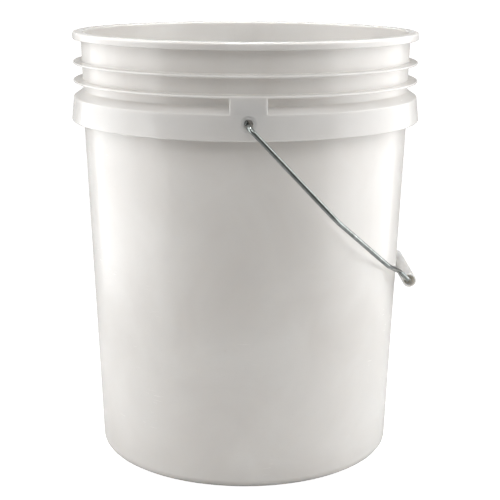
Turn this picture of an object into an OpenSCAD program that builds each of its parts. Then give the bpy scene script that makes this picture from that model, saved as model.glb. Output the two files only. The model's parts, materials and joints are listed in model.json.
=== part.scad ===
// Plastic fermenting bucket: a moulded open-head pail with a hooked wire bail and a tube grip.
// Millimetres, +Z up. The origin is the centre of the foot ring, on the surface it stands on.
// The bail ears are at -Y and +Y. At rest the bail hangs on the +X side of the pail.

/* [Pail] */
// Height from the foot ring to the top of the rim
pail_h = 375; // [340:1:400]
// Outer radius of the wall at the foot
foot_r = 131.1; // [126:0.1:133]
// Outer radius of the wall where it passes behind the skirt
shoulder_wall_r = 142.9; // [140:0.1:143.5]
// Outer radius of the neck just above the skirt
neck_low_r = 142.4; // [140:0.1:143]
// Outer radius of the neck just below the rim
neck_top_r = 144.2; // [143:0.1:145]
// Wall thickness
wall_t = 2.3; // [1.8:0.1:2.8]
// Floor thickness
floor_t = 2.8; // [2:0.1:4]

/* [Foot] */
// Radius of the rounded edge between the foot and the wall
foot_round = 8; // [5:0.5:10]
// Height of the raised centre of the underside
foot_recess = 4; // [2:0.5:8]
// Inner radius of the foot ring
foot_ring_r = 116; // [100:1:119]

/* [Rim] */
// Outer radius of the down-turned rim
rim_r = 151.3; // [151.2:0.1:152.5]
// Height of the rim's lip
rim_lip_h = 6.2; // [5:0.1:9]
// Thickness of the lip
lip_t = 2.1; // [1.6:0.1:2.6]

/* [Ribs and skirt] */
// Depth below the rim top of the upper rib
rib_1_drop = 26.2; // [20:0.1:28]
// Depth below the rim top of the lower rib
rib_2_drop = 42; // [38:0.1:43]
// Outer radius of the ribs
rib_r = 151.1; // [149:0.1:151.2]
// Thickness of a rib at its edge
rib_t = 1.8; // [1.4:0.1:2.4]
// Depth below the rim top at which the shoulder leaves the neck
shoulder_drop = 50; // [49:0.1:52]
// Depth below the rim top of the skirt's upper edge
skirt_top_drop = 55.6; // [55:0.1:58]
// Depth below the rim top of the skirt's lower edge
skirt_low_drop = 76.2; // [74:0.1:80]
// Outer radius of the skirt's upper edge
skirt_top_r = 151; // [150.5:0.1:151.1]
// Outer radius of the skirt's lower edge
skirt_low_r = 153.1; // [152:0.1:154]
// Thickness of the skirt
skirt_t = 2.1; // [1.6:0.1:2.4]

/* [Bail ears] */
// Width of an ear
ear_w = 30; // [28:0.5:40]
// Thickness of an ear's two side webs
ear_web_t = 2; // [1.5:0.1:2.2]
// Depth below the rim top of the ear hole's centre
ear_hole_drop = 62.8; // [62:0.1:64]
// Radius of the ear hole
ear_hole_r = 3.7; // [3.2:0.1:4]
// Radius of the shallow recess round the ear hole
ear_recess_r = 5.8; // [5:0.1:6.5]
// Depth of that recess
ear_recess_t = 0.9; // [0.5:0.1:1.1]

/* [Bail wire] */
// Diameter of the wire
wire_d = 4; // [3.5:0.1:4.2]
// Angle by which the resting bail drops below the horizontal
bail_drop = 46.2; // [45:0.1:46.5]
// Distance of the bail's arm from the middle plane, at the ear
arm_y = 162; // [160:0.5:166]
// Distance of the elbow from the middle plane
elbow_y = 171; // [168:0.5:176]
// Distance of the elbow from the hinge line
elbow_reach = 98; // [90:1:104]
// Length of the hooked end inside the ear
hook_len = 8; // [6:0.5:9]

/* [Grip] */
// Length of the grip
grip_len = 92; // [80:1:94]
// Outer diameter of the grip
grip_d = 12.2; // [12:0.1:14]
// Bore of the grip
grip_bore_d = 9.4; // [9.2:0.1:9.8]
// Distance of the grip's centre line from the hinge line
grip_reach = 209.6; // [209:0.1:214]

/* [Hidden] */

// Facets in a full turn: the pail and the wire's bends, the grip, the ear recess, and the small rounds
fine = 144;
grip_fine = 96;
recess_fine = 64;
small_fine = 48;
arc_steps = 4;
edge_round = 0.8;
mouth_round = 1.5;
// Angle from which the lower edges of the lip and the skirt are rounded
tuck_angle = -150;
hdpe = [0.93, 0.92, 0.89];
zinc = [0.62, 0.64, 0.63];
natural = [0.9, 0.89, 0.86];

// Heights of the moulded features
rib_1_z = pail_h - rib_1_drop;
rib_2_z = pail_h - rib_2_drop;
shoulder_z = pail_h - shoulder_drop;
skirt_top_z = pail_h - skirt_top_drop;
skirt_low_z = pail_h - skirt_low_drop;
ear_hole_z = pail_h - ear_hole_drop;

// The wall steps in a little behind the skirt, so it is two cones with a short step between them
step_rise = 5;
step_h = 10;
step_low_z = skirt_low_z + step_rise;
step_top_z = step_low_z + step_h;

// A rib is thicker at its root by this much on each side
rib_draft = 0.3;
rib_root_t = rib_t + 2 * rib_draft;
// Thickness of the shoulder at the neck, and of its outer edge where the skirt hangs from it
shoulder_t = 3;
skirt_crown_t = 2;
// Width of the slope between the foot ring and the raised centre, and its shift inside the pail
ring_slope = 5;
ring_shift = 1;

// Ears: overlap with the walls they join, and room round the wire's hooked end
ear_lap = 1;
ear_root_z = skirt_low_z + 20;
pocket_gap = 0.2;
// How far the tools that cut the ears run past them
cut_past = 5;
block_deep = 40;

// The wire hangs at the bottom of the ear hole
hole_play = 0.5;
hinge_z = ear_hole_z - ear_hole_r + wire_d / 2 + hole_play;
hook_gap = 4.2;
hook_y = neck_low_r + hook_gap;
bore_play = 0.35;
straight_reach = grip_reach - grip_bore_d / 2 + wire_d / 2 + bore_play;
// Beside the grip the wire turns in towards the pail as a collar that keeps the grip in place
collar_gap = 4;
collar_in = 13;
collar_run = 7;
bend_in = 24;
bend_run = 50;
collar_y = grip_len / 2 + collar_gap;
collar_reach = straight_reach - collar_in;
collar_foot_y = collar_y + collar_run;
bend_reach = collar_reach - bend_in;
bend_y = collar_foot_y + bend_run;

// Route of one half of the wire, from the middle to its hooked end: [reach from the hinge line, y]
half_route = [
    [straight_reach, 0],
    [straight_reach, collar_y],
    [collar_reach, collar_foot_y],
    [bend_reach, bend_y],
    [elbow_reach, elbow_y],
    [0, arm_y],
    [0, hook_y],
    [-hook_len, hook_y]
];
// Radius of the bend at each of those points
half_bends = [0, 5, 6, 30, 22, 6, 3, 0];
// A bend is a little thicker than the runs, and laps over their ends
bend_swell = 0.3;
bend_lap = 0.6;

function arc(c, r, a0, a1, n = arc_steps) =
    [for (i = [0:n]) let (a = a0 + (a1 - a0) * i / n) [c[0] + r * cos(a), c[1] + r * sin(a)]];

// Outer radius of the wall at height z: below the step, and above it
function low_wall_r(z) = foot_r + (shoulder_wall_r - foot_r) * z / step_low_z;
function neck_r(z) = neck_low_r + (neck_top_r - neck_low_r) * (z - step_top_z) / (pail_h - step_top_z);

// Outer radius of the skirt at height z
function skirt_r(z) = skirt_top_r
    + (skirt_low_r - skirt_top_r) * (skirt_top_z - z) / (skirt_top_z - skirt_low_z);

// Outline of a rib, going up the outside of the neck
function rib_outline(z) = concat(
    [[neck_r(z - rib_root_t / 2), z - rib_root_t / 2]],
    arc([rib_r - rib_t / 2, z], rib_t / 2, -90, 90),
    [[neck_r(z + rib_root_t / 2), z + rib_root_t / 2]]
);

// Outline of the skirt, from the wall out under the shoulder, down, round and up to the neck
function skirt_outline() = concat(
    [[neck_r(shoulder_z - shoulder_t), shoulder_z - shoulder_t],
     [skirt_r(skirt_top_z - skirt_crown_t) - skirt_t, skirt_top_z - skirt_crown_t],
     [skirt_r(skirt_low_z + skirt_t / 2) - skirt_t, skirt_low_z + skirt_t / 2]],
    arc([skirt_low_r - skirt_t / 2, skirt_low_z + skirt_t / 2], skirt_t / 2, tuck_angle, 0),
    arc([skirt_top_r - edge_round, skirt_top_z - edge_round / 2], edge_round, 0, 55),
    [[neck_r(shoulder_z), shoulder_z]]
);

// Outline of the rim: under the flange, round the lip, over the top and down to the inside
function rim_outline() = concat(
    [[neck_r(pail_h - lip_t), pail_h - lip_t],
     [rim_r - lip_t, pail_h - lip_t],
     [rim_r - lip_t, pail_h - rim_lip_h + lip_t / 2]],
    arc([rim_r - lip_t / 2, pail_h - rim_lip_h + lip_t / 2], lip_t / 2, tuck_angle, 0),
    arc([rim_r - lip_t, pail_h - lip_t], lip_t, 0, 90),
    arc([neck_top_r - wall_t + mouth_round, pail_h - mouth_round], mouth_round, 90, 180)
);

function foot_outline() = concat(
    [[0, foot_recess], [foot_ring_r - ring_slope, foot_recess], [foot_ring_r, 0]],
    arc([foot_r - foot_round, foot_round], foot_round, -90, 0)
);

function inside_outline() = concat(
    [[neck_r(step_top_z) - wall_t, step_top_z],
     [low_wall_r(step_low_z) - wall_t, step_low_z]],
    arc([foot_r - foot_round, foot_round], foot_round - floor_t, 0, -90),
    [[foot_ring_r + ring_shift, floor_t],
     [foot_ring_r + ring_shift - ring_slope, foot_recess + floor_t],
     [0, foot_recess + floor_t]]
);

module pail_shell() {
    rotate_extrude($fn = fine)
        polygon(concat(
            foot_outline(),
            [[low_wall_r(step_low_z), step_low_z], [neck_r(step_top_z), step_top_z]],
            skirt_outline(),
            rib_outline(rib_2_z),
            rib_outline(rib_1_z),
            rim_outline(),
            inside_outline()
        ));
}

// A block w wide across the front, between an outline turned about the pail's axis
module ear_block(outline, w) {
    intersection() {
        rotate_extrude($fn = fine) polygon(outline);
        translate([-w / 2, -skirt_low_r - cut_past, 0]) cube([w, block_deep, pail_h]);
    }
}

// The ear closes the space between the lower rib and the skirt, and walls its sides
module ear_solid() {
    ear_block([
        [neck_r(ear_root_z) - wall_t / 2, skirt_low_z + ear_lap],
        [skirt_r(skirt_low_z + ear_lap) - skirt_t / 2, skirt_low_z + ear_lap],
        [skirt_r(skirt_top_z) - skirt_t / 2, skirt_top_z - ear_lap],
        [skirt_top_r, skirt_top_z - edge_round / 2],
        [skirt_top_r, rib_2_z],
        [neck_r(rib_2_z) - wall_t / 2, rib_2_z]
    ], ear_w);
}

// The pocket behind the ear's face, open below, where the hooked end of the wire turns
module ear_pocket() {
    ear_block([
        [shoulder_wall_r + pocket_gap, skirt_low_z - cut_past],
        [skirt_low_r - skirt_t, skirt_low_z - cut_past],
        [skirt_r(skirt_low_z) - skirt_t, skirt_low_z],
        [skirt_r(skirt_top_z) - skirt_t, skirt_top_z],
        [skirt_top_r - skirt_t, rib_2_z - rib_root_t],
        [neck_r(rib_2_z) + pocket_gap, rib_2_z - rib_root_t],
        [neck_r(step_top_z) + pocket_gap, step_top_z],
        [shoulder_wall_r + pocket_gap, step_low_z]
    ], ear_w - 2 * ear_web_t);
}

module ear_hole() {
    translate([0, -skirt_r(ear_hole_z) - cut_past, ear_hole_z]) rotate([-90, 0, 0]) {
        cylinder(r = ear_hole_r, h = cut_past + 2 * skirt_t, $fn = small_fine);
        cylinder(r = ear_recess_r, h = cut_past + ear_recess_t, $fn = recess_fine);
    }
}

module pail_body() {
    color(hdpe) difference() {
        union() {
            pail_shell();
            ear_solid();
            mirror([0, 1, 0]) ear_solid();
        }
        for (side = [0, 1]) mirror([0, side, 0]) {
            ear_pocket();
            ear_hole();
        }
    }
}

// Heading, turning angle and tangent length along the wire's route
function unit(v) = v / norm(v);
function heading(v) = atan2(v[1], v[0]);
function turn(a, b) = let (d = heading(b) - heading(a)) d > 180 ? d - 360 : d < -180 ? d + 360 : d;
function bend_at(i) = turn(half_route[i] - half_route[i - 1], half_route[i + 1] - half_route[i]);
function setback(i) =
    (i == 0 || i == len(half_route) - 1) ? 0 : half_bends[i] * tan(abs(bend_at(i)) / 2);

// The straight run of wire from point i of the route to the next, short of the bends at its ends
module wire_run(i) {
    along = unit(half_route[i + 1] - half_route[i]);
    from = half_route[i] + along * setback(i);
    to = half_route[i + 1] - along * setback(i + 1);
    translate([from[0], from[1], 0]) rotate([0, 0, heading(along)]) rotate([0, 90, 0])
        cylinder(d = wire_d, h = norm(to - from), $fn = small_fine);
}

// The bend at point i, a little thicker than the runs and lapping over their ends
module wire_bend(i) {
    before = unit(half_route[i] - half_route[i - 1]);
    angle = bend_at(i);
    side = sign(angle);
    start = half_route[i] - before * setback(i);
    centre = start + side * half_bends[i] * [-before[1], before[0]];
    lap = bend_lap / half_bends[i] * 180 / PI;
    first = heading(start - centre) + min(angle, 0) - lap;
    translate([centre[0], centre[1], 0]) rotate([0, 0, first])
        rotate_extrude(angle = abs(angle) + 2 * lap, $fn = fine)
            translate([half_bends[i], 0]) circle(d = wire_d + bend_swell, $fn = small_fine);
}

// Places its children from the bail's own plane, X away from the hinge line, into the resting pose
module in_bail_plane() {
    translate([0, 0, hinge_z]) rotate([0, bail_drop, 0]) children();
}

module bail_wire() {
    last = len(half_route) - 1;
    color(zinc) in_bail_plane() {
        translate([straight_reach, -collar_y + setback(1), 0]) rotate([-90, 0, 0])
            cylinder(d = wire_d, h = 2 * (collar_y - setback(1)), $fn = small_fine);
        for (half_turn = [0, 180]) rotate([half_turn, 0, 0]) {
            for (i = [1:last - 1]) wire_run(i);
            for (i = [1:last - 1]) wire_bend(i);
        }
    }
}

module grip() {
    wall = (grip_d - grip_bore_d) / 2;
    color(natural) in_bail_plane()
        translate([grip_reach, 0, 0]) rotate([90, 0, 0])
            rotate_extrude($fn = grip_fine) translate([grip_bore_d / 2, -grip_len / 2])
                square([wall, grip_len]);
}

pail_body();
bail_wire();
grip();
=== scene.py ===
"""Looks of the plastic fermenting bucket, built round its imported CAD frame. Metres, +Z up."""

import json
import math

import bmesh
import bpy
from mathutils import Matrix, Vector


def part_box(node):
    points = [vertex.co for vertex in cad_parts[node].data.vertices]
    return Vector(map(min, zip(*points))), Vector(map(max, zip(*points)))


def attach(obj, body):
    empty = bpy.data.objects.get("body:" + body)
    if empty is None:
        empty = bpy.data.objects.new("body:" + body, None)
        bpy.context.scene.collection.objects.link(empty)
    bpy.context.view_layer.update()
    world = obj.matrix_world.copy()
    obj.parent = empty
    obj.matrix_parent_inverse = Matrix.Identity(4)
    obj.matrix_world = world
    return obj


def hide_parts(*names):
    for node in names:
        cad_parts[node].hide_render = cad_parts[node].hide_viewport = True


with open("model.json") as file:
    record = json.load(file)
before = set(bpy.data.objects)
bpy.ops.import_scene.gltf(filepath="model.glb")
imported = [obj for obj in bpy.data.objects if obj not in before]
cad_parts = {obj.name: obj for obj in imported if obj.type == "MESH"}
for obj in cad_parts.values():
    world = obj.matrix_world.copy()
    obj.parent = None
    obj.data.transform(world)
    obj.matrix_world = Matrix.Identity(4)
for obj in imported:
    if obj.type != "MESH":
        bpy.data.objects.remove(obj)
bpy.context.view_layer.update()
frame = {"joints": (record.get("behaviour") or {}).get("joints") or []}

MM = 0.001
FULL_TURN = 2 * math.pi
QUARTER_TURN = math.pi / 2

# ---------------------------------------------------------------- sizes of the pail
pail_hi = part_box("pail_body")[1]
PAIL_H = pail_hi.z

# Wall and floor
FOOT_R = 131.1 * MM
SHOULDER_WALL_R = 142.9 * MM
NECK_LOW_R = 142.4 * MM
NECK_TOP_R = 144.2 * MM
WALL_T = 2.3 * MM
FLOOR_T = 2.8 * MM
FLOOR_CORNER_T = 2.6 * MM
FLOOR_CORNER_ROUND = 6 * MM
FOOT_ROUND = 8 * MM
FOOT_RECESS = 4 * MM
FOOT_RING_R = 116 * MM
FOOT_RING_SLOPE = 5 * MM
FOOT_RING_ROUND = 2 * MM
FLOOR_RISE_OUT = 1 * MM
FLOOR_RISE_IN = 4 * MM
FLOOR_RISE_ROUND = 1 * MM

# Rim and ribs
RIM_R = 151.3 * MM
RIM_ROUND = 2.0 * MM
MOUTH_ROUND = 1.5 * MM
LIP_H = 6.2 * MM
LIP_T = 2.1 * MM
LIP_ROOT_ROUND = 1.2 * MM
LIP_INNER_ROUND = 0.8 * MM
EDGE_ROUND = 0.95 * MM
RIB_1_Z = PAIL_H - 26.2 * MM
RIB_2_Z = PAIL_H - 42 * MM
RIB_R = 151.1 * MM
RIB_T = 1.8 * MM
RIB_ROOT_T = 2.4 * MM
RIB_TIP_ROUND = 0.85 * MM
RIB_ROOT_ROUND = 1.0 * MM

# Skirt, the step of the wall behind it, and the cavity between the two
SHOULDER_Z = PAIL_H - 50 * MM
SHOULDER_T = 3 * MM
SHOULDER_ROUND = 1.4 * MM
SKIRT_TOP_Z = PAIL_H - 55.6 * MM
SKIRT_LOW_Z = PAIL_H - 76.2 * MM
SKIRT_TOP_R = 151 * MM
SKIRT_LOW_R = pail_hi.x
SKIRT_T = 2.1 * MM
SKIRT_CROWN_T = 2 * MM
SKIRT_TOP_ROUND = 1.5 * MM
CAVITY_ROUND = 0.8 * MM
STEP_LOW_Z = SKIRT_LOW_Z + 5 * MM
STEP_TOP_Z = SKIRT_LOW_Z + 15 * MM
STEP_ROUND = 3 * MM

# Ears: the raised block, the pocket behind it, and the hole with its flared recess
EAR_HALF_W = 15 * MM
EAR_RISE = 8 * MM
EAR_SIDE_ROUND = 1.2 * MM
EAR_TOP_Z = RIB_2_Z - RIB_ROOT_T
EAR_TOP_ROUND = 0.3 * MM
EAR_FACE_LINES = (-8 * MM, -4 * MM, 0, 4 * MM)
EAR_FACE_ROUND = 0.2 * MM
POCKET_HALF_W = 13 * MM
POCKET_RISE = 10 * MM
POCKET_SIDE_ROUND = 0.4 * MM
POCKET_WALL_GAP = 0.1 * MM
POCKET_TOP_ROUND = 1.0 * MM
EAR_HOLE_Z = PAIL_H - 62.8 * MM
EAR_HOLE_R = 3.7 * MM
EAR_RECESS_R = 5.4 * MM
EAR_RECESS_T = 0.9 * MM
EAR_RECESS_ROUND = 0.45 * MM
EAR_FLARE_R = 6.9 * MM
EAR_FLARE_ROUND = 1.2 * MM

# ---------------------------------------------------------------- sizes of the bail and its grip
hinge = Vector(next(j for j in frame["joints"] if j["name"] == "bail_swing")["pos_m"])
grip_lo, grip_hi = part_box("grip")
grip_mid = (grip_lo + grip_hi) / 2
GRIP_REACH = math.hypot(grip_mid.x - hinge.x, grip_mid.z - hinge.z)
BAIL_DROP = math.atan2(hinge.z - grip_mid.z, grip_mid.x - hinge.x)
GRIP_LEN = grip_hi.y - grip_lo.y
GRIP_R = (grip_hi.z - grip_lo.z) / 2
GRIP_BORE_R = 4.7 * MM
GRIP_BORE_ROUND = 0.4 * MM
GRIP_END_ROUND = 0.7 * MM
GRIP_GAP = 0.35 * MM
WIRE_R = 2 * MM

# The wire's corners are (distance from the hinge line, Y, bending radius)
COLLAR_GAP = 4 * MM
COLLAR_RUN = 7 * MM
COLLAR_IN = 13 * MM
COLLAR_ROUNDS = (5 * MM, 6 * MM)
BEND_RUN = 57 * MM
BEND_IN = 24 * MM
BEND_ROUND = 30 * MM
ELBOW = (98 * MM, 171 * MM, 22 * MM)
HINGE_BEND = (0, 162 * MM, 6 * MM)
HOOK_GAP = 4.2 * MM
HOOK_LEN = 8 * MM
HOOK_ROUND = 3 * MM

# Cropped wire ends, in wire radii: the rolled-over edge, the core inside it, and the last flat ring
CROP_EDGE, CROP_CORE, CROP_FLAT = 0.55, 0.45, 0.25

# ---------------------------------------------------------------- fineness of the meshes
ARC_STEPS = 4
WIRE_ARC_STEPS = 10
WIRE_STEP = 4 * MM
WIRE_SIDES = 24
GRIP_SIDES = 96
HOLE_SIDES = 64
SMALL_ROUND = 0.1 * MM

# Columns of vertices round the pail: evenly spaced all round, and extra ones at these distances
# from the middle of an ear. Even ones this close to an ear (in radians) are left out, and two
# that agree to this many decimals are one.
PAIL_COLUMNS = 192
HOLE_COLUMNS = [k * MM for k in range(12)]
EASE_COLUMNS = {17.5 * MM, 19 * MM}
COLUMN_GAP = 0.01
COLUMN_DIGITS = 7


# ---------------------------------------------------------------- mesh helpers
def rounded(corners, steps=ARC_STEPS, guard=0.3 * MM):
    """A polyline with its corners turned into arcs, and a guard point on each side of every arc.

    Each corner is (across, up, radius). Every corner gives the same number of points."""
    least_cut, arc_share, guard_share = 0.04 * MM, 0.45, 0.48
    pts = [Vector(c[:2]) for c in corners]
    out = [pts[0]]
    for i in range(1, len(pts) - 1):
        a, p, b = pts[i - 1], pts[i], pts[i + 1]
        u, v = (a - p), (b - p)
        lu, lv = u.length, v.length
        u.normalize()
        v.normalize()
        half = (math.pi - u.angle(v)) / 2
        t = max(corners[i][2] * math.tan(half), least_cut)
        t = min(t, arc_share * lu, arc_share * lv)
        w = math.cos(half)
        out.append(p + u * min(t + guard, guard_share * lu))
        for k in range(steps + 1):
            s = k / steps
            c0, c1, c2 = (1 - s) ** 2, 2 * s * (1 - s) * w, s * s
            out.append(((p + u * t) * c0 + p * c1 + (p + v * t) * c2) / (c0 + c1 + c2))
        out.append(p + v * min(t + guard, guard_share * lv))
    out.append(pts[-1])
    return out


def shade_smooth(mesh):
    mesh.polygons.foreach_set("use_smooth", [True] * len(mesh.polygons))


def mesh_object(name, verts, faces, recalc=True):
    mesh = bpy.data.meshes.new(name)
    mesh.from_pydata([tuple(v) for v in verts], [], faces)
    if recalc:
        bm = bmesh.new()
        bm.from_mesh(mesh)
        bmesh.ops.recalc_face_normals(bm, faces=bm.faces)
        bm.to_mesh(mesh)
        bm.free()
    shade_smooth(mesh)
    obj = bpy.data.objects.new(name, mesh)
    bpy.context.scene.collection.objects.link(obj)
    return obj


def lathe(name, outline, segments):
    """A closed ring swept round Z from an outline that closes on itself."""
    verts, faces = [], []
    n = len(outline)
    for i in range(segments):
        a = FULL_TURN * i / segments
        verts += [(p[0] * math.cos(a), p[0] * math.sin(a), p[1]) for p in outline]
        k = (i + 1) % segments
        faces += [(i * n + j, k * n + j, k * n + (j + 1) % n, i * n + (j + 1) % n)
                  for j in range(n)]
    return mesh_object(name, verts, faces)


# ---------------------------------------------------------------- the pail
def neck_r(z):
    return NECK_LOW_R + (NECK_TOP_R - NECK_LOW_R) * (z - STEP_TOP_Z) / (PAIL_H - STEP_TOP_Z)


def skirt_r(z):
    return SKIRT_TOP_R + (SKIRT_LOW_R - SKIRT_TOP_R) * (SKIRT_TOP_Z - z) / (SKIRT_TOP_Z - SKIRT_LOW_Z)


def rib(z):
    half, root = RIB_T / 2, RIB_ROOT_T / 2
    return [
        (neck_r(z - root), z - root, RIB_ROOT_ROUND),
        (RIB_R, z - half, RIB_TIP_ROUND),
        (RIB_R, z + half, RIB_TIP_ROUND),
        (neck_r(z + root), z + root, RIB_ROOT_ROUND),
    ]


def pail_outline(ear, pocket):
    """From the middle of the underside up the outside, over the rim and down to the middle inside."""
    if pocket:
        cavity = [
            (neck_r(EAR_TOP_Z) + POCKET_WALL_GAP, EAR_TOP_Z, POCKET_TOP_ROUND),
            (SKIRT_TOP_R - SKIRT_T, EAR_TOP_Z, POCKET_TOP_ROUND),
        ]
    else:
        root_z, crown_z = SHOULDER_Z - SHOULDER_T, SKIRT_TOP_Z - SKIRT_CROWN_T
        cavity = [
            (neck_r(root_z), root_z, CAVITY_ROUND),
            (skirt_r(crown_z) - SKIRT_T, crown_z, CAVITY_ROUND),
        ]
    lower_rib = rib(RIB_2_Z)
    if ear:
        shoulder_r = SKIRT_TOP_R
        lower_rib[0] = (SKIRT_TOP_R, EAR_TOP_Z, EAR_TOP_ROUND)
    else:
        shoulder_r = neck_r(SHOULDER_Z)
    face_heights = [EAR_HOLE_Z + up for up in EAR_FACE_LINES]
    lip_z = PAIL_H - LIP_T
    return rounded(
        [
            (0, FOOT_RECESS, 0),
            (FOOT_RING_R - FOOT_RING_SLOPE, FOOT_RECESS, FOOT_RING_ROUND),
            (FOOT_RING_R, 0, FOOT_RING_ROUND),
            (FOOT_R, 0, FOOT_ROUND),
            (SHOULDER_WALL_R, STEP_LOW_Z, STEP_ROUND),
            (neck_r(STEP_TOP_Z), STEP_TOP_Z, STEP_ROUND),
            *cavity,
            (SKIRT_LOW_R - SKIRT_T, SKIRT_LOW_Z, EDGE_ROUND),
            (SKIRT_LOW_R, SKIRT_LOW_Z, EDGE_ROUND),
            *[(skirt_r(z), z, EAR_FACE_ROUND) for z in face_heights],
            (SKIRT_TOP_R, SKIRT_TOP_Z, SKIRT_TOP_ROUND),
            (shoulder_r, SHOULDER_Z, SHOULDER_ROUND),
            *lower_rib,
            *rib(RIB_1_Z),
            (neck_r(lip_z), lip_z, LIP_ROOT_ROUND),
            (RIM_R - LIP_T, lip_z, LIP_INNER_ROUND),
            (RIM_R - LIP_T, PAIL_H - LIP_H, EDGE_ROUND),
            (RIM_R, PAIL_H - LIP_H, EDGE_ROUND),
            (RIM_R, PAIL_H, RIM_ROUND),
            (NECK_TOP_R - WALL_T, PAIL_H, MOUTH_ROUND),
            (neck_r(STEP_TOP_Z) - WALL_T, STEP_TOP_Z, STEP_ROUND),
            (SHOULDER_WALL_R - WALL_T, STEP_LOW_Z, STEP_ROUND),
            (FOOT_R - FLOOR_CORNER_T, FLOOR_T, FLOOR_CORNER_ROUND),
            (FOOT_RING_R + FLOOR_RISE_OUT, FLOOR_T, FLOOR_RISE_ROUND),
            (FOOT_RING_R - FLOOR_RISE_IN, FOOT_RECESS + FLOOR_T, FLOOR_RISE_ROUND),
            (0, FOOT_RECESS + FLOOR_T, 0),
        ]
    )


def step_lines(edge, height, rounding, steps=ARC_STEPS):
    """Positions across an ear's side wall, from its middle outwards, and how far the wall has risen."""
    half_gap, guard = 0.03 * MM, 2.2 * rounding
    turns = [QUARTER_TURN * k / steps for k in range(steps + 1)]
    lines = [(edge - guard, 1.0)]
    for a in turns:
        lines.append((edge - rounding + rounding * math.sin(a) - half_gap,
                      1 - rounding * (1 - math.cos(a)) / height))
    for a in turns:
        lines.append((edge + rounding - rounding * math.cos(a) + half_gap,
                      rounding * (1 - math.sin(a)) / height))
    lines.append((edge + guard, 0.0))
    return lines


def interpolate(table, x):
    if x <= table[0][0]:
        return table[0][1]
    for (x0, y0), (x1, y1) in zip(table, table[1:]):
        if x <= x1:
            return y0 + (y1 - y0) * (x - x0) / (x1 - x0)
    return table[-1][1]


ear_table = step_lines(EAR_HALF_W, EAR_RISE, EAR_SIDE_ROUND)
pocket_table = step_lines(POCKET_HALF_W, POCKET_RISE, POCKET_SIDE_ROUND)


def off_ear(a):
    """The angle between a place round the pail and the middle of the nearer ear."""
    return min(a, abs(a - math.pi), FULL_TURN - a)


def pail_angles():
    """Angles round the pail measured from an ear's middle, crowded together where the ears are."""
    crowd = {round(x, COLUMN_DIGITS) for x, _ in ear_table + pocket_table}
    crowd |= {round(x, COLUMN_DIGITS) for x in HOLE_COLUMNS} | EASE_COLUMNS
    near = sorted({s * math.asin(x / SKIRT_TOP_R) for x in crowd for s in (-1, 1)})
    limit = near[-1] + COLUMN_GAP
    far = [FULL_TURN * k / PAIL_COLUMNS for k in range(PAIL_COLUMNS)]
    keep = [a for a in far if off_ear(a) > limit]
    return sorted(keep + [a % FULL_TURN for a in near] + [a + math.pi for a in near])


def ear_hole_outline():
    """The cutter's outline from its outer end inwards: the flare, the recess, then the round hole."""
    outer_end, inner_end = 4 * MM, -5 * MM
    brim_r, brim_z, flare_z = EAR_FLARE_R + 1.4 * MM, 0.25 * MM, -0.02 * MM
    edge_r, edge_z, hole_z = EAR_HOLE_R + 0.25 * MM, -EAR_RECESS_T - 0.1 * MM, -EAR_RECESS_T - 0.5 * MM
    return rounded(
        [
            (0, outer_end, 0),
            (brim_r, outer_end, SMALL_ROUND),
            (brim_r, brim_z, SMALL_ROUND),
            (EAR_FLARE_R, flare_z, EAR_FLARE_ROUND),
            (EAR_RECESS_R, -EAR_RECESS_T, EAR_RECESS_ROUND),
            (edge_r, edge_z, 0.3 * MM),
            (EAR_HOLE_R, hole_z, 0.4 * MM),
            (EAR_HOLE_R, inner_end, SMALL_ROUND),
            (0, inner_end, 0),
        ],
        guard=0.1 * MM,
    )


def make_pail():
    ear_reach, far_away = 0.5, 1.0
    plain, front = pail_outline(False, False), pail_outline(True, False)
    inner = pail_outline(False, True)
    angles = pail_angles()
    n = len(plain)
    verts, faces = [], []
    for a in angles:
        off = off_ear(a)
        x = SKIRT_TOP_R * math.sin(off) if off < ear_reach else far_away
        we, wp = interpolate(ear_table, x), interpolate(pocket_table, x)
        c, s = math.sin(a), -math.cos(a)
        for j in range(1, n - 1):
            p = plain[j] + (front[j] - plain[j]) * we + (inner[j] - plain[j]) * wp
            verts.append((p.x * c, p.x * s, p.y))
    m = n - 2
    count = len(angles)
    low, high = len(verts), len(verts) + 1
    verts += [(0, 0, plain[0].y), (0, 0, plain[-1].y)]
    for i in range(count):
        k = (i + 1) % count
        faces += [(i * m + j, k * m + j, k * m + j + 1, i * m + j + 1) for j in range(m - 1)]
        faces.append((low, k * m, i * m))
        faces.append((high, i * m + m - 1, k * m + m - 1))
    pail = mesh_object("pail_moulding", verts, faces)

    lean = math.atan2(SKIRT_LOW_R - SKIRT_TOP_R, SKIRT_TOP_Z - SKIRT_LOW_Z)
    for side in (0, math.pi):
        tool = lathe("ear_tool", ear_hole_outline(), HOLE_SIDES)
        place = (Matrix.Rotation(side, 4, "Z")
                 @ Matrix.Translation((0, -skirt_r(EAR_HOLE_Z), EAR_HOLE_Z))
                 @ Matrix.Rotation(QUARTER_TURN - lean, 4, "X"))
        tool.data.transform(place)
        cut = pail.modifiers.new("hole", "BOOLEAN")
        cut.operation, cut.solver, cut.object = "DIFFERENCE", "EXACT", tool
        bpy.context.view_layer.objects.active = pail
        bpy.ops.object.modifier_apply(modifier=cut.name)
        bpy.data.objects.remove(tool)
    shade_smooth(pail.data)
    return pail


# ---------------------------------------------------------------- the bail and its grip
def from_bail_plane(reach, y, lift=0.0):
    """A point at rest, from its place in the bail's own plane: reach is its distance from the
    hinge line, and lift its height off the plane."""
    c, s = math.cos(BAIL_DROP), math.sin(BAIL_DROP)
    return Vector((hinge.x + reach * c + lift * s, y, hinge.z - reach * s + lift * c))


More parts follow.
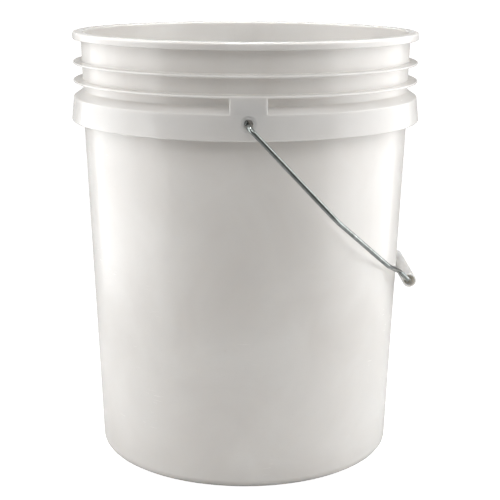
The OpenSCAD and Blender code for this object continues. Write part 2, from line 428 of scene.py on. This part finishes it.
def wire_route():
    straight = GRIP_REACH - GRIP_BORE_R + WIRE_R + GRIP_GAP
    collar_y = GRIP_LEN / 2 + COLLAR_GAP
    collar = straight - COLLAR_IN
    hook_y = NECK_LOW_R + HOOK_GAP
    half = [
        (straight, 0, 0),
        (straight, collar_y, COLLAR_ROUNDS[0]),
        (collar, collar_y + COLLAR_RUN, COLLAR_ROUNDS[1]),
        (collar - BEND_IN, collar_y + BEND_RUN, BEND_ROUND),
        ELBOW,
        HINGE_BEND,
        (0, hook_y, HOOK_ROUND),
        (-HOOK_LEN, hook_y, 0),
    ]
    line = rounded(half, steps=WIRE_ARC_STEPS, guard=1 * MM)
    whole = [Vector((p.x, -p.y)) for p in reversed(line[1:])] + line
    fine = [whole[0]]
    for a, b in zip(whole, whole[1:]):
        pieces = max(1, math.ceil((b - a).length / WIRE_STEP))
        fine += [a.lerp(b, k / pieces) for k in range(1, pieces + 1)]
    return [from_bail_plane(p.x, p.y) for p in fine]


def cropped_end(p, along, sign):
    """Rings from the full wire to the middle of its cropped end, the edge rolled over by the shear."""
    rings = []
    for k in range(ARC_STEPS + 1):
        a = QUARTER_TURN * k / ARC_STEPS
        rings.append((p - along * sign * WIRE_R * (1 - math.sin(a)) * CROP_EDGE,
                      along, WIRE_R * (CROP_CORE + CROP_EDGE * math.cos(a))))
    return [*rings, (rings[-1][0], along, WIRE_R * CROP_FLAT)]


def make_wire():
    route = wire_route()
    plane_normal = from_bail_plane(0, 0, 1) - from_bail_plane(0, 0, 0)
    rings = []
    for i, p in enumerate(route):
        ahead = route[min(i + 1, len(route) - 1)] - p
        back = p - route[max(i - 1, 0)]
        along = (ahead.normalized() + back.normalized()).normalized()
        rings.append((p, along, WIRE_R))
    first, last = cropped_end(*rings[0][:2], -1), cropped_end(*rings[-1][:2], 1)
    rings = [*reversed(first), *rings[1:-1], *last]
    verts, faces = [], []
    for p, along, r in rings:
        side = along.cross(plane_normal).normalized()
        for k in range(WIRE_SIDES):
            a = FULL_TURN * k / WIRE_SIDES
            verts.append(p + side * r * math.cos(a) + plane_normal * r * math.sin(a))
    for i in range(len(rings) - 1):
        here, there = i * WIRE_SIDES, (i + 1) * WIRE_SIDES
        for k in range(WIRE_SIDES):
            q = (k + 1) % WIRE_SIDES
            faces.append((here + k, here + q, there + q, there + k))
    for start in (0, (len(rings) - 1) * WIRE_SIDES):
        faces.append(tuple(range(start, start + WIRE_SIDES)))
    return mesh_object("bail_bent_wire", verts, faces)


def make_grip():
    h = GRIP_LEN / 2
    outline = rounded(
        [
            (GRIP_BORE_R, 0, 0),
            (GRIP_BORE_R, h, GRIP_BORE_ROUND),
            (GRIP_R, h, GRIP_END_ROUND),
            (GRIP_R, -h, GRIP_END_ROUND),
            (GRIP_BORE_R, -h, GRIP_BORE_ROUND),
            (GRIP_BORE_R, 0, 0),
        ]
    )[:-1]
    grip = lathe("grip_tube", outline, GRIP_SIDES)
    grip.data.transform(Matrix.Translation(grip_mid) @ Matrix.Rotation(QUARTER_TURN, 4, "X"))
    return grip


# ---------------------------------------------------------------- materials
WHITE = (1, 1, 1, 1)

HDPE_DARKER = (0.70, 0.682, 0.66)
HDPE_LIGHTER = (0.765, 0.753, 0.732)
HDPE_FLECK = (0.66, 0.635, 0.60)
HDPE_SCUFF = (0.80, 0.79, 0.77)
HDPE_SCATTER = (0.006, 0.0057, 0.0054)

ZINC_DARKER = (0.22, 0.242, 0.234)
ZINC_LIGHTER = (0.38, 0.41, 0.40)
ZINC_DULL = (0.15, 0.165, 0.16)

GRIP_DARKER = (0.74, 0.72, 0.685)
GRIP_LIGHTER = (0.80, 0.785, 0.75)
GRIP_RUBBED = (0.60, 0.57, 0.52)
GRIP_SCATTER = (0.006, 0.0055, 0.0048)

# The middle range of a noise, over which a colour or a gloss changes
MIDDLE = (0.3, 0.7)
NONE_TO_ALL = (0.0, 1.0)


class Nodes:
    """A short way to write a node tree."""

    def __init__(self, name):
        self.material = bpy.data.materials.new(name)
        self.material.use_nodes = True
        self.tree = self.material.node_tree
        self.shader = self.tree.nodes["Principled BSDF"]
        self.place = self.add("ShaderNodeTexCoord").outputs["Object"]

    def add(self, kind, **values):
        node = self.tree.nodes.new(kind)
        for key, value in values.items():
            setattr(node, key, value)
        return node

    def feed(self, socket, value):
        """Link another node's output to a socket, or set the socket's own value."""
        if isinstance(value, bpy.types.NodeSocket):
            self.tree.links.new(value, socket)
        else:
            socket.default_value = value

    def stretched(self, scale, rotation=(0, 0, 0)):
        node = self.add("ShaderNodeMapping")
        node.inputs["Rotation"].default_value = rotation
        node.inputs["Scale"].default_value = scale
        self.feed(node.inputs["Vector"], self.place)
        return node.outputs["Vector"]

    def noise(self, scale, detail, rough, vector=None, distortion=0.0):
        node = self.add("ShaderNodeTexNoise")
        node.inputs["Scale"].default_value = scale
        node.inputs["Detail"].default_value = detail
        node.inputs["Roughness"].default_value = rough
        node.inputs["Distortion"].default_value = distortion
        self.feed(node.inputs["Vector"], vector or self.place)
        return node.outputs["Fac"]

    def ramp(self, value, low, high):
        """One colour below the middle range of a value, another above it."""
        node = self.add("ShaderNodeValToRGB")
        for element, at, colour in zip(node.color_ramp.elements, MIDDLE, (low, high)):
            element.position = at
            element.color = (*colour, 1)
        self.feed(node.inputs["Fac"], value)
        return node.outputs["Color"]

    def mix(self, fac, base, colour):
        node = self.add("ShaderNodeMix", data_type="RGBA")
        first, second = [s for s in node.inputs if s.type == "RGBA"]
        self.feed(node.inputs[0], fac)
        self.feed(first, base)
        self.feed(second, (*colour, 1))
        return next(s for s in node.outputs if s.type == "RGBA")

    def span(self, value, given, wanted):
        """A value's range turned into another range, clamped."""
        node = self.add("ShaderNodeMapRange")
        node.inputs["From Min"].default_value, node.inputs["From Max"].default_value = given
        node.inputs["To Min"].default_value, node.inputs["To Max"].default_value = wanted
        self.feed(node.inputs["Value"], value)
        return node.outputs["Result"]

    def maths(self, operation, a, b):
        node = self.add("ShaderNodeMath", operation=operation)
        for socket, value in zip(node.inputs, (a, b)):
            self.feed(socket, value)
        return node.outputs[0]

    def bump(self, height, strength, distance, normal=None):
        node = self.add("ShaderNodeBump")
        node.inputs["Strength"].default_value = strength
        node.inputs["Distance"].default_value = distance
        self.feed(node.inputs["Height"], height)
        if normal:
            self.feed(node.inputs["Normal"], normal)
        return node.outputs["Normal"]

    def set(self, **values):
        for key, value in values.items():
            self.feed(self.shader.inputs[key.replace("_", " ")], value)


def hdpe():
    """Glossy moulded polyethylene: soft clouding, a slight waviness, a fine skin and light scuffs."""
    m = Nodes("moulded_polyethylene")
    cloud = m.noise(scale=13, detail=3, rough=0.55, distortion=0.5)
    base = m.ramp(cloud, HDPE_DARKER, HDPE_LIGHTER)
    fleck = m.noise(scale=420, detail=2, rough=0.6)
    base = m.mix(m.span(fleck, (0.62, 0.78), (0.0, 0.25)), base, HDPE_FLECK)
    scuff = m.noise(scale=1, detail=5, rough=0.6, vector=m.stretched((60, 60, 900)), distortion=0.3)
    patch = m.noise(scale=14, detail=3, rough=0.6)
    worn = m.maths("MULTIPLY",
                   m.span(scuff, (0.60, 0.70), NONE_TO_ALL),
                   m.span(patch, (0.5, 0.68), NONE_TO_ALL))
    base = m.mix(m.maths("MULTIPLY", worn, 0.12), base, HDPE_SCUFF)
    gloss = m.span(m.noise(scale=30, detail=4, rough=0.55), MIDDLE, (0.20, 0.27))
    gloss = m.maths("ADD", gloss, m.maths("MULTIPLY", worn, 0.05))
    skin = m.bump(m.noise(scale=2600, detail=2, rough=0.5), strength=0.05, distance=0.0002)
    wave = m.noise(scale=1, detail=2, rough=0.5, vector=m.stretched((22, 22, 9)))
    relief = m.bump(wave, strength=0.10, distance=0.004, normal=skin)
    m.set(Base_Color=base, Roughness=gloss, Normal=relief, IOR=1.52)
    m.set(Subsurface_Weight=0.6, Subsurface_Radius=HDPE_SCATTER, Subsurface_Scale=1.0)
    return m.material


def zinc():
    """Drawn and bent wire with bright zinc plating: fine draw lines, a spangle and dull patches."""
    m = Nodes("zinc_plated_wire")
    spangle = m.noise(scale=260, detail=3, rough=0.6)
    base = m.ramp(spangle, ZINC_DARKER, ZINC_LIGHTER)
    dull = m.noise(scale=45, detail=3, rough=0.6)
    base = m.mix(m.span(dull, (0.52, 0.72), (0.0, 0.5)), base, ZINC_DULL)
    rough = m.span(dull, MIDDLE, (0.10, 0.19))
    along_wire = m.stretched((300, 18, 3000), rotation=(0, -BAIL_DROP, 0))
    drawn = m.bump(m.noise(scale=1, detail=3, rough=0.6, vector=along_wire),
                   strength=0.12, distance=0.0002)
    pits = m.bump(m.noise(scale=900, detail=2, rough=0.5),
                  strength=0.08, distance=0.0002, normal=drawn)
    m.set(Base_Color=base, Metallic=1.0, Roughness=rough, Normal=pits)
    return m.material


def natural_plastic():
    """Natural extruded tube: milky, satin, with faint lines along its length and rubbed patches."""
    m = Nodes("natural_tube_plastic")
    cloud = m.noise(scale=70, detail=3, rough=0.5)
    base = m.ramp(cloud, GRIP_DARKER, GRIP_LIGHTER)
    rubbed = m.noise(scale=160, detail=4, rough=0.65)
    base = m.mix(m.span(rubbed, (0.58, 0.72), (0.0, 0.35)), base, GRIP_RUBBED)
    rough = m.span(rubbed, MIDDLE, (0.30, 0.44))
    lengthwise = m.stretched((1400, 20, 1400))
    lines = m.bump(m.noise(scale=1, detail=3, rough=0.5, vector=lengthwise),
                   strength=0.15, distance=0.0002)
    m.set(Base_Color=base, Roughness=rough, Normal=lines, IOR=1.5)
    m.set(Subsurface_Weight=0.7, Subsurface_Radius=GRIP_SCATTER, Subsurface_Scale=1.0)
    return m.material


def give(piece, material, body, node):
    piece.data.materials.clear()
    piece.data.materials.append(material)
    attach(piece, body)
    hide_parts(node)


give(make_pail(), hdpe(), "pail", "pail_body")
give(make_wire(), zinc(), "bail", "bail_wire")
give(make_grip(), natural_plastic(), "grip", "grip")

# ---------------------------------------------------------------- studio
SWEEP_DARKER = (0.50, 0.50, 0.50)
SWEEP_LIGHTER = (0.52, 0.52, 0.52)
SWEEP_SEEN = 0.9

# The world lights the pail with a warm white that grows upwards, and the camera sees plain white
AROUND_LOW = (0.25, (0.92, 0.885, 0.85, 1))
AROUND_HIGH = (0.75, (2.4, 2.35, 2.3, 1))
AROUND_STRENGTH = 0.2
BEHIND_STRENGTH = 1.0

SIDE_X, SIDE_Z = 0.52, 0.43
SIDE_SIZE = (0.72, 0.84)


def sweep():
    """A pale floor that curves up into a backdrop. It glows for the camera only."""
    m = Nodes("studio_sweep")
    tone = m.ramp(m.noise(scale=3, detail=3, rough=0.5), SWEEP_DARKER, SWEEP_LIGHTER)
    m.set(Base_Color=tone, Roughness=0.9, Emission_Color=WHITE)
    seen = m.add("ShaderNodeLightPath").outputs["Is Camera Ray"]
    m.set(Emission_Strength=m.span(seen, NONE_TO_ALL, (0.0, SWEEP_SEEN)))
    width, front, back, top, bend, steps = 6.0, 3.0, 2.4, 3.4, 0.9, 24
    line = [Vector((-front, 0)), Vector((back - bend, 0))]
    for k in range(1, steps + 1):
        a = QUARTER_TURN * k / steps
        line.append(Vector((back - bend + bend * math.sin(a), bend - bend * math.cos(a))))
    line.append(Vector((back, top)))
    verts = [(x, p.x, p.y) for p in line for x in (-width, width)]
    faces = [(2 * i, 2 * i + 1, 2 * i + 3, 2 * i + 2) for i in range(len(line) - 1)]
    floor = mesh_object("studio_floor", verts, faces, recalc=False)
    floor.data.materials.append(m.material)


def softbox(name, at, towards, size, power, spread=180):
    light = bpy.data.lights.new(name, "AREA")
    light.shape = "RECTANGLE"
    light.size, light.size_y = size
    light.energy = power
    light.spread = math.radians(spread)
    obj = bpy.data.objects.new(name, light)
    obj.location = at
    obj.rotation_euler = (Vector(towards) - Vector(at)).to_track_quat("-Z", "Y").to_euler()
    obj.visible_camera = False
    bpy.context.scene.collection.objects.link(obj)


def surroundings():
    world = bpy.data.worlds.new("studio_world")
    world.use_nodes = True
    nodes, links = world.node_tree.nodes, world.node_tree.links
    around = nodes["Background"]
    split = nodes.new("ShaderNodeSeparateXYZ")
    links.new(nodes.new("ShaderNodeTexCoord").outputs["Generated"], split.inputs[0])
    fade = nodes.new("ShaderNodeValToRGB")
    for element, (at, colour) in zip(fade.color_ramp.elements, (AROUND_LOW, AROUND_HIGH)):
        element.position, element.color = at, colour
    links.new(split.outputs["Z"], fade.inputs["Fac"])
    links.new(fade.outputs["Color"], around.inputs["Color"])
    around.inputs["Strength"].default_value = AROUND_STRENGTH
    behind = nodes.new("ShaderNodeBackground")
    behind.inputs["Color"].default_value = WHITE
    behind.inputs["Strength"].default_value = BEHIND_STRENGTH
    choose = nodes.new("ShaderNodeMixShader")
    links.new(nodes.new("ShaderNodeLightPath").outputs["Is Camera Ray"], choose.inputs[0])
    links.new(around.outputs[0], choose.inputs[1])
    links.new(behind.outputs[0], choose.inputs[2])
    links.new(choose.outputs[0], nodes["World Output"].inputs["Surface"])
    bpy.context.scene.world = world


sweep()
softbox("softbox_left", at=(-SIDE_X, -0.02, SIDE_Z), towards=(0, -0.02, SIDE_Z),
        size=SIDE_SIZE, power=3.9)
softbox("softbox_right", at=(SIDE_X, -0.05, SIDE_Z), towards=(0, -0.05, SIDE_Z),
        size=SIDE_SIZE, power=4.1)
softbox("front", at=(0, -1.3, 1.75), towards=(0, 0, PAIL_H / 2), size=(1.2, 1.2), power=8)
softbox("overhead", at=(0, 0, 1.6), towards=(0, 0, 0), size=(0.3, 0.3), power=0.5, spread=28)
surroundings()
bpy.context.scene.view_settings.view_transform = "Standard"

# ---------------------------------------------------------------- camera
EYE = Vector((-0.0182, -1.1108, 0.442))
AIM = Vector((0.0047, 0.0, 0.1765))
ROLL = math.radians(0.26)
LENS_MM = 89.8
SENSOR_MM = 36

camera = bpy.data.cameras.new("camera")
camera.lens = LENS_MM
camera.sensor_width = SENSOR_MM
view = bpy.data.objects.new("camera", camera)
view.matrix_world = (Matrix.Translation(EYE)
                     @ (AIM - EYE).to_track_quat("-Z", "Y").to_matrix().to_4x4()
                     @ Matrix.Rotation(ROLL, 4, "Z"))
bpy.context.scene.collection.objects.link(view)
bpy.context.scene.camera = view
